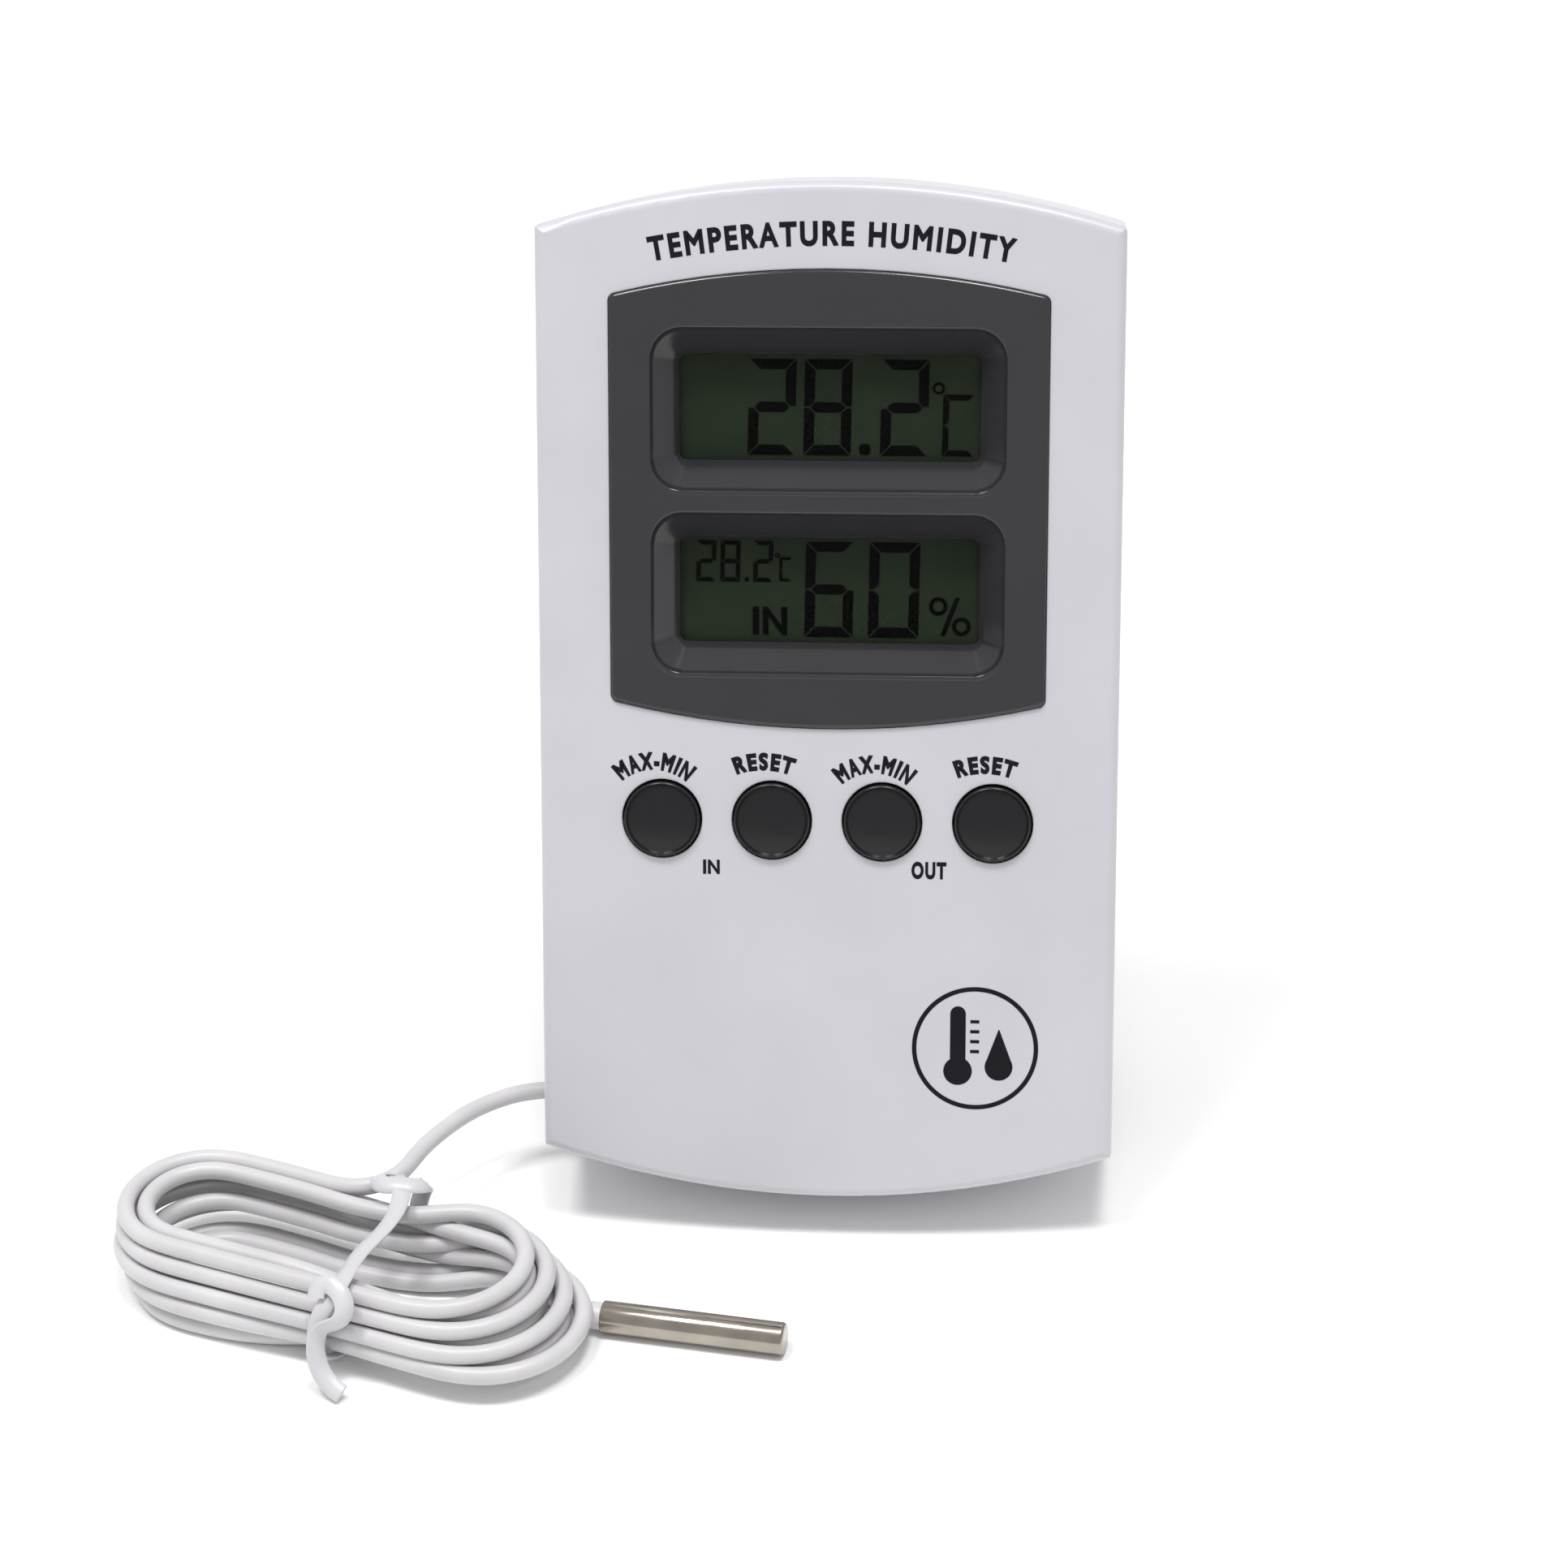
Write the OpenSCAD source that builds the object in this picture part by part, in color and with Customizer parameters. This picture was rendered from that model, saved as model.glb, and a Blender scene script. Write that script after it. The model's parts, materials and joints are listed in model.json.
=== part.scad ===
// Digital maximum minimum thermometer and humidity meter with a corded outdoor probe.
// The case leans back on a fold-out stand. Millimetres, +Z up, the display faces -Y.
// Case pieces are drawn upright: x across, y from the front face to the back, z up the
// face from the lowest point of the case. lean_back() then tips them onto the floor.

/* [Case] */
// Width of the case
case_w = 70; // [66:1:80]
// Height of the case on its centre line
case_h = 124; // [122:1:128]
// Thickness from the front face to the back
case_t = 20; // [20:0.5:24]
// Rise of the curved top edge between corner and centre
top_rise = 5.3; // [4:0.1:7]
// Drop of the curved bottom edge between corner and centre
bottom_drop = 5.8; // [4:0.1:6.5]
// Wall thickness of both case halves
wall = 1.8; // [1.6:0.1:2]
// Rounding of the four corners seen from the front
corner_round = 1; // [0.6:0.1:1.4]
// Rounding of the front outer edges
front_round = 1.2; // [0.6:0.1:1.5]
// Rounding of the back outer edges
back_round = 1.5; // [0.8:0.1:1.6]
// Depth of the front half
split_y = 10; // [9.9:0.1:10.5]

/* [Display] */
// Width of the grey display bezel
bezel_w = 52.2; // [50:0.1:54]
// Lowest point of the bezel above the case bottom
bezel_low = 58.9; // [58.5:0.1:60]
// Highest point of the bezel above the case bottom
bezel_high = 113.7; // [112:0.1:114]
// Rise of both curved bezel edges
bezel_rise = 3.1; // [2:0.1:4]
// Rounding of the bezel's four corners
bezel_corner = 0.9; // [0.4:0.1:1.2]
// Height that the bezel stands proud of the face
bezel_proud = 0.5; // [0.2:0.1:0.8]
// Width of the clear opening over each display
window_w = 36; // [34:0.1:37]
// Height of the clear opening over each display
window_h = 12.7; // [11:0.1:13]
// Width added by the sloping sides at the face
slope_w = 3.1; // [2:0.1:3.4]
// Depth of the sloping sides below the face
slope_depth = 3.2; // [2.5:0.1:3.4]
// Height of the upper display's centre
upper_z = 97.2; // [96:0.1:98]
// Height of the lower display's centre
lower_z = 75.2; // [74:0.1:76]

/* [Buttons] */
// Diameter of a button cap
button_d = 9.2; // [8:0.1:9.4]
// Gap all round a cap
button_gap = 0.3; // [0.3:0.05:0.4]
// Distance between neighbouring buttons
button_pitch = 13.36; // [13:0.02:13.6]
// Height of the button row
button_z = 47.5; // [46:0.1:49]
// Height of a cap over the face
button_proud = 1; // [0.9:0.1:1.4]

/* [Stand and battery] */
// Angle that the case leans back
lean = 19; // [17:0.5:22]
// Angle of the open stand to the back of the case
stand_open = 26; // [24:0.5:30]
// Height of the stand's hinge on the back
hinge_z = 62; // [61:0.5:63]
// Thickness of the stand
stand_t = 2.4; // [2:0.1:2.4]
// Diameter of the battery cell
cell_d = 10.4; // [10.2:0.1:10.5]
// Length of the battery cell without its terminal
cell_l = 43.3; // [43:0.1:43.4]

/* [Cord and probe] */
// Diameter of the sensor cord
cord_d = 2.2; // [1.8:0.1:2.4]
// Diameter of the steel probe
probe_d = 4; // [3.8:0.1:4.2]
// Length of the steel probe
probe_l = 22.5; // [20:0.5:24]
// Width of the tied hank of cord
hank_w = 24; // [23:0.5:25]
// Height of the tied hank of cord
hank_h = 11.5; // [11:0.5:13]

/* [Hidden] */
$fn = 64;
// overshoot of cuts
cut = 1;
// radii of the curved case and bezel edges, from their chord and rise
function arc_r(chord, rise) = (pow(chord / 2, 2) + pow(rise, 2)) / (2 * rise);
top_r = arc_r(case_w, top_rise);
bottom_r = arc_r(case_w, bottom_drop);
bezel_r = arc_r(bezel_w, bezel_rise);
// stack of parts behind the face
bezel_seat = 1;
block_x = 22.8;
block_gap = 0.2;
lens_y = slope_depth;
lens_t = 0.8;
lcd_y = lens_y + lens_t;
lcd_t = 2;
board_y = 8.6;
board_t = 1.2;
board_back = board_y + board_t;
pocket_w = 40;
pocket_h = 16.2;
block_low = lower_z - pocket_h / 2 - 2.6;
block_high = upper_z + pocket_h / 2 + 2.6;
strip_x = 18.5;
// board outline and fixings
board_w = 62;
board_low = 38;
board_high = 106.5;
board_posts = [[-28, 41], [28, 41], [-28, 103.5], [28, 103.5]];
case_posts = [[-30, 20], [30, 20], [-30, 110], [30, 110]];
post_r = 2.8;
board_post_r = 2.2;
screw_r = 1.15;
board_screw_r = 0.9;
head_seat_y = case_t - 3;
// buttons
button_r = button_d / 2;
button_flange_r = 5.6;
button_stem_r = 2;
button_dome = 0.45;
pad_top = 6.6;
pad_x = 25;
pad_base = 0.8;
// stand recess in the back
recess_x = 26;
recess_y = case_t - 3;
recess_top = 65;
stand_x = 25.4;
foot_x = 15;
taper_z = 14;
stand_gap = 0.5;
panel_border = 5;
panel_depth = 0.5;
scoop_r = 5;
scoop_z = 40;
scoop_depth = 1.2;
floor_t = 1.4;
hinge_y = recess_y + 1.5;
pin_r = 0.9;
pin_bore_r = 0.95;
// battery bay behind the recess floor
bay_x = 24;
bay_z = 24;
bay_h = 11.6;
bay_wall = 1;
bay_front = case_t - 16.6;
contact_t = 0.4;
terminal_l = 1.2;
cell_y = recess_y - floor_t - 0.4 - cell_d / 2;
cell_x = bay_x - contact_t - terminal_l - cell_l;
door_x = 24.7;
door_low = bay_z - bay_h / 2 - 1.1;
door_high = bay_z + bay_h / 2 + 1.1;
door_gap = 0.2;
door_bead = floor_t / 2;
tab_x = 15;
tab_l = 1.6;
// hanging hole, vents and unit switch
hang_z = 111.5;
hang_r = 3;
hang_slot_r = 1.6;
hang_rise = 5;
vent_x = 9;
vent_low = 86;
vent_pitch = 3.4;
vent_h = 1.4;
switch_x = 17;
switch_z = 84;
switch_travel = 2.5;
// cord outlet in the left side wall
outlet_y = 14;
outlet_z = 9;
wire_r = 0.5;
grommet_r = 2.1;
grommet_out = 1.6;
// tipping onto the floor: the rounded lower back edge and the stand's foot both touch z = 0
lift = (case_t - back_round) * sin(lean) + back_round * (1 - cos(lean));
y_low = front_round * (cos(lean) + sin(lean) - 1);
y_high = (case_t - back_round) * cos(lean) + (case_h - back_round) * sin(lean) + back_round;
y_shift = -(y_low + y_high) / 2;
hinge_height = hinge_z * cos(lean) - hinge_y * sin(lean) + lift;
foot_r = stand_t / 2;
leg_l = (hinge_height - foot_r) / cos(stand_open - lean);
// hank: centre on the floor, direction and reach of its two ends
hank_x = -56.6;
hank_y = -46.7;
hank_turn = -19;
hank_left = -32;
hank_right = 32;
tie_s = 3.6;
tie_w = 3.2;
tie_t = 0.6;
// probe: where it leaves the hank, and its direction
probe_x = -25.6;
probe_y = -48.9;
probe_turn = -8.7;
probe_wall = 0.3;
// route of the lead from the case wall to the hank, on the floor frame
lead_route = [
    [-35, -13.4, 10.1], [-36.8, -13.4, 10.1], [-38.6, -13.8, 10.1], [-40.4, -14.6, 10.2],
    [-42.2, -15.8, 10.3], [-43.9, -17.3, 10.4], [-45.4, -19.1, 10.6], [-46.8, -21.2, 10.8],
    [-48.2, -23.8, 11], [-49.5, -26.6, 11.2], [-50.6, -29.4, 11.3], [-51.5, -32.6, 11.2],
    [-52.3, -35.2, 10.8]
];
// route of the thin lead inside the case, in the upright frame
inner_route = [
    [-33, 14, 9], [-30, 13.6, 9.5], [-28, 13, 11.4], [-26.6, 12.4, 15], [-26.2, 12, 20],
    [-26.2, 11.6, 26], [-26.2, 11.3, 32], [-25.8, 11, 35.5], [-25.4, 10.7, 39]
];
inner_r = 0.8;
white = [0.85, 0.85, 0.88];
grey = [0.27, 0.27, 0.29];
steel = [0.7, 0.7, 0.68];
glass = [0.75, 0.8, 0.8];

// ---------- helpers ----------

// tips an upright case piece back onto the floor
module lean_back() {
    translate([0, y_shift, lift]) rotate([-lean, 0, 0]) children();
}

// turns a shape drawn along +Z so that it points along +Y
module along_y(x, y, z) {
    translate([x, y, z]) rotate([-90, 0, 0]) children();
}

// box from its middle in x, and its low and high y and z
module slab(half_x, y0, y1, z0, z1) {
    translate([-half_x, y0, z0]) cube([2 * half_x, y1 - y0, z1 - z0]);
}

// filled section of one edge pair: w wide, the whole case deep, with both outer corners rounded
module edge_section(w) {
    square([w - max(front_round, back_round), case_t]);
    translate([0, front_round]) square([w, case_t - front_round - back_round]);
    translate([w - front_round, front_round]) circle(front_round);
    translate([w - back_round, case_t - back_round]) circle(back_round);
    square([w - front_round, front_round * 2]);
}

// disc facing the front, whose rim is rounded like the case edges
module rim_disc(r, z) {
    translate([0, 0, z]) rotate([-90, 0, 0]) rotate_extrude($fn = 360) edge_section(r);
}

// what one rounding of radius r takes off a corner of an outline, between two depths; x and z
// are its middle, and turn the direction in which the curved edge faces there
module corner_sliver(x, z, r, turn, y0, y1) {
    reach = 3 * r;
    translate([x, y1, z]) rotate([90, 0, 0]) linear_extrude(y1 - y0) difference() {
        polygon([[0, 0], [reach, 0], [reach, reach * sign(turn)], reach * [cos(turn), sin(turn)]]);
        circle(r);
    }
}

// the same for all four corners of an outline with bowed top and bottom edges
module corner_slivers(half, low, high, r_low, r_high, r, y0, y1) {
    x = half - r;
    up = sqrt(pow(r_high - r, 2) - pow(x, 2));
    down = sqrt(pow(r_low - r, 2) - pow(x, 2));
    for (side = [0, 1])
        mirror([side, 0, 0]) {
            corner_sliver(x, high - r_high + up, r, atan2(up, x), y0, y1);
            corner_sliver(x, low + r_low - down, r, -atan2(down, x), y0, y1);
        }
}

// whole outer form of the case
module case_form() {
    difference() {
        intersection() {
            rim_disc(top_r, case_h - top_r);
            rim_disc(bottom_r, bottom_r);
            linear_extrude(case_h) {
                edge_section(case_w / 2);
                mirror([1, 0]) edge_section(case_w / 2);
            }
        }
        corner_slivers(case_w / 2, 0, case_h, bottom_r, top_r, corner_round, -cut, case_t + cut);
    }
}

// outline with curved top and bottom, w wide, extruded from y0 to y1
module arched_block(w, low, high, r_low, r_high, y0, y1) {
    intersection() {
        along_y(0, y0, high - r_high) cylinder(r = r_high, h = y1 - y0, $fn = 360);
        along_y(0, y0, low + r_low) cylinder(r = r_low, h = y1 - y0, $fn = 360);
        slab(w / 2, y0, y1, low, high);
    }
}

// inside of the case between two depths
module case_inside(y0, y1) {
    low = wall;
    high = case_h - wall;
    arched_block(case_w - 2 * wall, low, high, bottom_r - wall, top_r - wall, y0, y1);
}

// rounded rectangle in the face plane
module face_rect(w, h, r, y, z) {
    translate([0, y, z]) rotate([90, 0, 0]) linear_extrude(0.01, center = true)
        hull() for (sx = [-1, 1], sz = [-1, 1])
            translate([sx * (w / 2 - r), sz * (h / 2 - r)]) circle(r, $fn = 32);
}

// sloping well in front of one display
module window_well(z) {
    hull() {
        face_rect(window_w + 2 * slope_w + 0.4, window_h + 2 * slope_w + 0.9, 3.7, -bezel_proud - 0.1, z);
        face_rect(window_w, window_h, 1, slope_depth + 0.1, z);
    }
}

function unit(v) = v / norm(v);
function tangent(p, i) = unit(p[min(i + 1, len(p) - 1)] - p[max(i - 1, 0)]);
function ring(p, i, r, across, sides) =
    let (t = tangent(p, i), n = unit(cross(t, across)), b = cross(t, n))
    [for (k = [0:sides - 1]) p[i] + r * (cos(360 * k / sides) * n + sin(360 * k / sides) * b)];

// tube along a route; across is any direction that the route never follows
module swept_tube(route, r, across, sides = 8) {
    last = len(route) - 1;
    points = [for (i = [0:last]) each ring(route, i, r, across, sides)];
    walls = [for (i = [0:last - 1], k = [0:sides - 1])
        [i * sides + k, (i + 1) * sides + k, (i + 1) * sides + (k + 1) % sides, i * sides + (k + 1) % sides]];
    start_cap = [[for (k = [0:sides - 1]) k]];
    end_cap = [[for (k = [sides - 1:-1:0]) last * sides + k]];
    polyhedron(points, concat(walls, start_cap, end_cap));
}

// places a child at each point of a list of [x, z]
module at_posts(posts, y) {
    for (p = posts) along_y(p[0], y, p[1]) children();
}

// ---------- case ----------

module front_case() color(white) lean_back() difference() {
    union() {
        difference() {
            intersection() {
                case_form();
                slab(case_w, -cut, split_y, -cut, case_h + cut);
            }
            case_inside(wall, split_y + cut);
        }
        at_posts(case_posts, wall - 0.1) cylinder(r = post_r, h = split_y - wall + 0.1);
        at_posts(board_posts, wall - 0.1) cylinder(r = board_post_r, h = board_y - wall + 0.1);
    }
    bezel_outline(0.1, -cut, bezel_seat);
    slab(block_x + block_gap, 0, wall + cut, block_low - block_gap, block_high + block_gap);
    at_posts(case_posts, wall + 1) cylinder(r = 1.2, h = split_y);
    at_posts(board_posts, wall + 1) cylinder(r = 0.95, h = board_y);
    for (i = [-1.5:1.5])
        along_y(i * button_pitch, -cut, button_z) cylinder(r = button_r + button_gap, h = wall + 2 * cut);
}

module bezel_outline(gap, y0, y1) {
    low = bezel_low - gap;
    high = bezel_high + gap;
    half = bezel_w / 2 + gap;
    difference() {
        arched_block(2 * half, low, high, bezel_r, bezel_r, y0, y1);
        corner_slivers(half, low, high, bezel_r, bezel_r, bezel_corner + gap, y0 - cut, y1 + cut);
    }
}

// shape of the stand's recess, or of the stand itself with gap = 0
module stand_plan(half, gap) {
    low = hinge_z - leg_l - foot_r - gap;
    polygon([
        [-half, recess_top], [-half, taper_z], [-foot_x - gap, low],
        [foot_x + gap, low], [half, taper_z], [half, recess_top]
    ]);
}

module rear_case() color(white) lean_back() difference() {
    union() {
        difference() {
            intersection() {
                case_form();
                slab(case_w, split_y, case_t + cut, -cut, case_h + cut);
            }
            case_inside(split_y - cut, case_t - wall);
        }
        // pan that forms the stand recess
        intersection() {
            case_form();
            slab(recess_x + 3, recess_y - floor_t, case_t, 1, recess_top + 2);
        }
        // battery bay
        slab(bay_x + bay_wall, bay_front, recess_y - floor_t + 0.1, bay_z - bay_h / 2 - bay_wall,
            bay_z + bay_h / 2 + bay_wall);
        at_posts(case_posts, split_y) cylinder(r = post_r, h = case_t - wall - split_y + 0.1);
    }
    // stand recess, finger scoop and hinge bores
    translate([0, case_t + cut, 0]) rotate([90, 0, 0]) linear_extrude(cut + case_t - recess_y)
        stand_plan(recess_x, stand_gap);
    along_y(recess_x + 1, case_t - scoop_depth, scoop_z) cylinder(r = scoop_r, h = case_t);
    for (s = [-1, 1])
        translate([s * (recess_x + 0.7), hinge_y, hinge_z]) rotate([0, 90, 0])
            cylinder(r = pin_bore_r, h = 1.8, center = true);
    // battery bay, door opening, pockets of the door tabs and slots of the contact tails
    slab(bay_x, bay_front + bay_wall, recess_y, bay_z - bay_h / 2, bay_z + bay_h / 2);
    slab(door_x + door_gap, recess_y - floor_t, recess_y + cut, door_low - door_bead - door_gap,
        door_high + door_gap);
    for (s = [-1, 1]) {
        translate([s * tab_x, 0, 0])
            slab(2.9, recess_y - 2.6, recess_y - 0.4, door_low - tab_l - 0.3, door_low + 0.5);
        translate([s * (bay_x - contact_t), 0, 0]) slab(contact_t, 9.2, 11.6, bay_z, bay_z + bay_h);
    }
    // screw holes and head seats
    at_posts(case_posts, split_y - cut) cylinder(r = 1.5, h = case_t);
    at_posts(case_posts, head_seat_y) cylinder(r = 2.6, h = case_t);
    // hanging hole with its rising slot
    along_y(0, case_t - wall - cut, hang_z) cylinder(r = hang_r, h = wall + 2 * cut);
    along_y(0, case_t - wall - cut, hang_z + hang_rise) cylinder(r = hang_slot_r, h = wall + 2 * cut);
    slab(hang_slot_r, case_t - wall - cut, case_t + cut, hang_z, hang_z + hang_rise);
    // vents and the unit switch's window
    for (i = [0:4])
        translate([0, 0, vent_low + vent_pitch * i])
            slab(vent_x, case_t - wall - cut, case_t + cut, 0, vent_h);
    translate([switch_x, 0, 0]) slab(3.4, case_t - wall - cut, case_t + cut, switch_z - 1.6, switch_z + 1.6);
    // cord outlet
    translate([-case_w / 2, outlet_y, outlet_z]) rotate([0, 90, 0])
        cylinder(r = grommet_r, h = 4 * wall, center = true);
}

// ---------- display ----------

module display_bezel() color(grey) lean_back() difference() {
    union() {
        bezel_outline(0, -bezel_proud, bezel_seat);
        slab(block_x, bezel_seat, lcd_y + lcd_t + block_gap, block_low, block_high);
    }
    for (z = [lower_z, upper_z]) {
        window_well(z);
        slab(pocket_w / 2, slope_depth, case_t, z - pocket_h / 2, z + pocket_h / 2);
    }
}

module window_lens(z) color(glass) lean_back()
    slab(pocket_w / 2 - 0.1, lens_y, lens_y + lens_t, z - pocket_h / 2 + 0.1, z + pocket_h / 2 - 0.1);

module lcd_module(z) color([0.35, 0.38, 0.3]) lean_back() {
    // front glass, and the back glass that is shorter at its contact edge
    slab(pocket_w / 2 - 0.3, lcd_y, lcd_y + lcd_t / 2, z - pocket_h / 2 + 0.2, z + pocket_h / 2 - 0.2);
    slab(pocket_w / 2 - 0.3, lcd_y + lcd_t / 2, lcd_y + lcd_t, z - pocket_h / 2 + 3, z + pocket_h / 2 - 0.2);
}

// conductive strip between a display's contact edge and the board
module contact_strip(z) color([0.2, 0.2, 0.22]) lean_back()
    slab(strip_x, lcd_y + lcd_t / 2, board_y, z - pocket_h / 2 + 0.5, z - pocket_h / 2 + 2.6);

module upper_window_lens() window_lens(upper_z);
module lower_window_lens() window_lens(lower_z);
module upper_lcd() lcd_module(upper_z);
module lower_lcd() lcd_module(lower_z);
module upper_contact_strip() contact_strip(upper_z);
module lower_contact_strip() contact_strip(lower_z);

// ---------- electronics ----------

module circuit_board() color([0.13, 0.4, 0.2]) lean_back() difference() {
    slab(board_w / 2, board_y, board_back, board_low, board_high);
    at_posts(board_posts, board_y - cut) cylinder(r = 1.1, h = board_t + 2 * cut);
}

module controller_chip() color([0.08, 0.08, 0.09]) lean_back() {
    along_y(-4, board_back, 66) cylinder(r = 6, h = 0.5);
    along_y(-4, board_back + 0.5, 66) cylinder(r1 = 6, r2 = 4, h = 0.9);
}

module timing_crystal() color(steel) lean_back()
    translate([-20, board_back + 1.05, 62]) cylinder(r = 1, h = 6);

module supply_capacitor() color([0.15, 0.18, 0.4]) lean_back()
    along_y(10, board_back, 62) cylinder(r = 2.5, h = 4);

module humidity_sensor() color([0.9, 0.9, 0.92]) lean_back() {
    translate([-3, 0, 0]) slab(3, board_back + 1, board_back + 3, 90, 98);
    for (x = [-4, -2])
        translate([x, 0, 0]) slab(0.25, board_back, board_back + 1, 90.5, 91);
}

module indoor_thermistor() color([0.1, 0.1, 0.1]) lean_back() {
    translate([6, board_back + 3.4, 96]) sphere(r = 1.1);
    for (x = [5.5, 6.5])
        along_y(x, board_back, 96) cylinder(r = 0.2, h = 2.6);
}

module button_pad() color([0.55, 0.55, 0.57]) lean_back() {
    slab(pad_x, pad_top + pad_base, board_y, button_z - 5.5, button_z + 5.5);
    for (i = [-1.5:1.5])
        along_y(i * button_pitch, pad_top, button_z) cylinder(r1 = 2.6, r2 = 4, h = pad_base);
}

// one button: domed cap, flange behind the case wall and stem
module button(i) color(grey) lean_back() translate([i * button_pitch, 0, button_z]) {
    dome_r = arc_r(button_d, button_dome);
    intersection() {
        along_y(0, -button_proud, 0) cylinder(r = button_r, h = button_proud + wall + 0.3);
        translate([0, dome_r - button_proud, 0]) sphere(r = dome_r, $fn = 180);
    }
    along_y(0, wall + 0.15, 0) cylinder(r = button_flange_r, h = 0.8);
    along_y(0, wall + 0.5, 0) cylinder(r = button_stem_r, h = pad_top - wall - 1.5);
}

module indoor_max_min_button() button(-1.5);
module indoor_reset_button() button(-0.5);
module outdoor_max_min_button() button(0.5);
module outdoor_reset_button() button(1.5);

module unit_switch_body() color([0.2, 0.2, 0.2]) lean_back() difference() {
    translate([switch_x, 0, 0]) slab(4.3, board_back, board_back + 3.6, switch_z - 1.8, switch_z + 1.8);
    translate([switch_x, 0, 0]) slab(3.2, board_back + 1.5, case_t, switch_z - 1, switch_z + 1);
}

module unit_switch_knob() color([0.9, 0.9, 0.9]) lean_back()
    translate([switch_x - switch_travel / 2, 0, 0]) {
        slab(0.9, board_back + 1.8, case_t - wall - 0.4, switch_z - 0.7, switch_z + 0.7);
        slab(1.6, case_t - wall - 0.4, case_t - 0.4, switch_z - 1.2, switch_z + 1.2);
    }

// ---------- battery ----------

module battery_cell() color([0.3, 0.45, 0.3]) lean_back() translate([cell_x, cell_y, bay_z]) {
    rotate([0, 90, 0]) cylinder(d = cell_d, h = cell_l);
    translate([cell_l, 0, 0]) rotate([0, 90, 0]) cylinder(d = 3.8, h = terminal_l);
}

// contact plate against an end wall of the bay, with a tail out of the bay's top
module contact_plate(s) {
    half = contact_t / 2;
    translate([s * (bay_x - half), 0, 0]) {
        slab(half, cell_y - 3.5, cell_y + 3.5, bay_z - 3.5, bay_z + 3.5);
        slab(half, 9.6, 11.2, bay_z, bay_z + bay_h / 2 + 3);
    }
}

module battery_spring() color(steel) lean_back() {
    turns = 3;
    steps = 14;
    coil_wire_r = 0.32;
    reach = cell_x + bay_x - contact_t - 2 * coil_wire_r;
    contact_plate(-1);
    coil = [for (i = [0:turns * steps])
        let (f = i / (turns * steps), a = 360 * i / steps, r = 3.2 - 1.2 * f)
        [-bay_x + contact_t + coil_wire_r / 2 + reach * f, cell_y + r * cos(a), bay_z + r * sin(a)]];
    swept_tube(coil, coil_wire_r, [1, 0, 0], 6);
}

module battery_plate() color(steel) lean_back() contact_plate(1);

module battery_wires() color([0.7, 0.1, 0.1]) lean_back()
    for (s = [-1, 1])
        translate([s * (bay_x - contact_t / 2), 10.4, bay_z + bay_h / 2 + 3])
            cylinder(r = wire_r, h = 8);

module battery_door() color(white) lean_back() difference() {
    union() {
        slab(door_x, recess_y - floor_t, recess_y, door_low, door_high);
        translate([-door_x, recess_y - door_bead, door_low]) rotate([0, 90, 0])
            cylinder(r = door_bead, h = 2 * door_x);
        for (s = [-1, 1])
            translate([s * tab_x, 0, 0]) slab(2.5, recess_y - 1.1, recess_y - 0.6, door_low - tab_l, door_low);
    }
    // grip grooves by the free edge
    for (i = [0:2])
        slab(5, recess_y - 0.5, recess_y + cut, door_high - 3 - 1.4 * i, door_high - 2.3 - 1.4 * i);
}

// ---------- stand ----------

// flap drawn folded, then opened about its hinge to the rest pose
module stand_leg() color(white) lean_back()
    translate([0, hinge_y, hinge_z]) rotate([stand_open, 0, 0]) translate([0, -hinge_y, -hinge_z]) {
        difference() {
            intersection() {
                translate([0, hinge_y + foot_r, 0]) rotate([90, 0, 0]) linear_extrude(stand_t)
                    stand_plan(stand_x, 0);
                union() {
                    slab(recess_x, recess_y, case_t, hinge_z - leg_l, hinge_z);
                    translate([-recess_x, hinge_y, hinge_z - leg_l]) rotate([0, 90, 0])
                        cylinder(r = foot_r, h = 2 * recess_x);
                }
            }
            // shallow panel in the outer side
            slab(stand_x - panel_border, hinge_y + foot_r - panel_depth, case_t + cut,
                taper_z + panel_border, hinge_z - 2 * panel_border);
        }
        translate([-stand_x, hinge_y, hinge_z]) rotate([0, 90, 0]) cylinder(r = 1.3, h = 2 * stand_x);
        translate([-stand_x - 2, hinge_y, hinge_z]) rotate([0, 90, 0]) cylinder(r = pin_r, h = 2 * stand_x + 4);
    }

// ---------- screws ----------

// pan head screw pointing along -Y, with a cross recess
module screw(r, head_r, head_h, length) {
    difference() {
        union() {
            along_y(0, -length, 0) cylinder(r = r, h = length);
            along_y(0, 0, 0) cylinder(r = head_r, h = head_h);
        }
        for (a = [0, 90])
            rotate([0, a, 0]) slab(head_r * 0.6, head_h * 0.45, head_h + cut, -0.25, 0.25);
    }
}

module case_screws() color(steel) lean_back()
    for (p = case_posts)
        translate([p[0], head_seat_y, p[1]]) screw(screw_r, 2.3, 1.6, 12);

module board_screws() color(steel) lean_back()
    for (p = board_posts)
        translate([p[0], board_back, p[1]]) screw(board_screw_r, 1.9, 1.2, 5.6);

// ---------- sensor cord ----------

module cord_grommet() color(white) lean_back()
    translate([-case_w / 2, outlet_y, outlet_z]) rotate([0, -90, 0]) difference() {
        union() {
            translate([0, 0, -wall - 1]) cylinder(r = 3, h = 1);
            translate([0, 0, -wall]) cylinder(r = grommet_r, h = wall);
            cylinder(r1 = grommet_r, r2 = cord_d / 2 + 0.35, h = grommet_out);
        }
        translate([0, 0, -wall - 2]) cylinder(d = cord_d, h = wall + 2 + grommet_out + cut);
    }

module inner_lead() color([0.9, 0.9, 0.9]) lean_back() {
    translate([-case_w / 2, outlet_y, outlet_z]) rotate([0, 90, 0]) cylinder(d = cord_d, h = 2.1);
    swept_tube(inner_route, inner_r, [0, 1, 0]);
}

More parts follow.
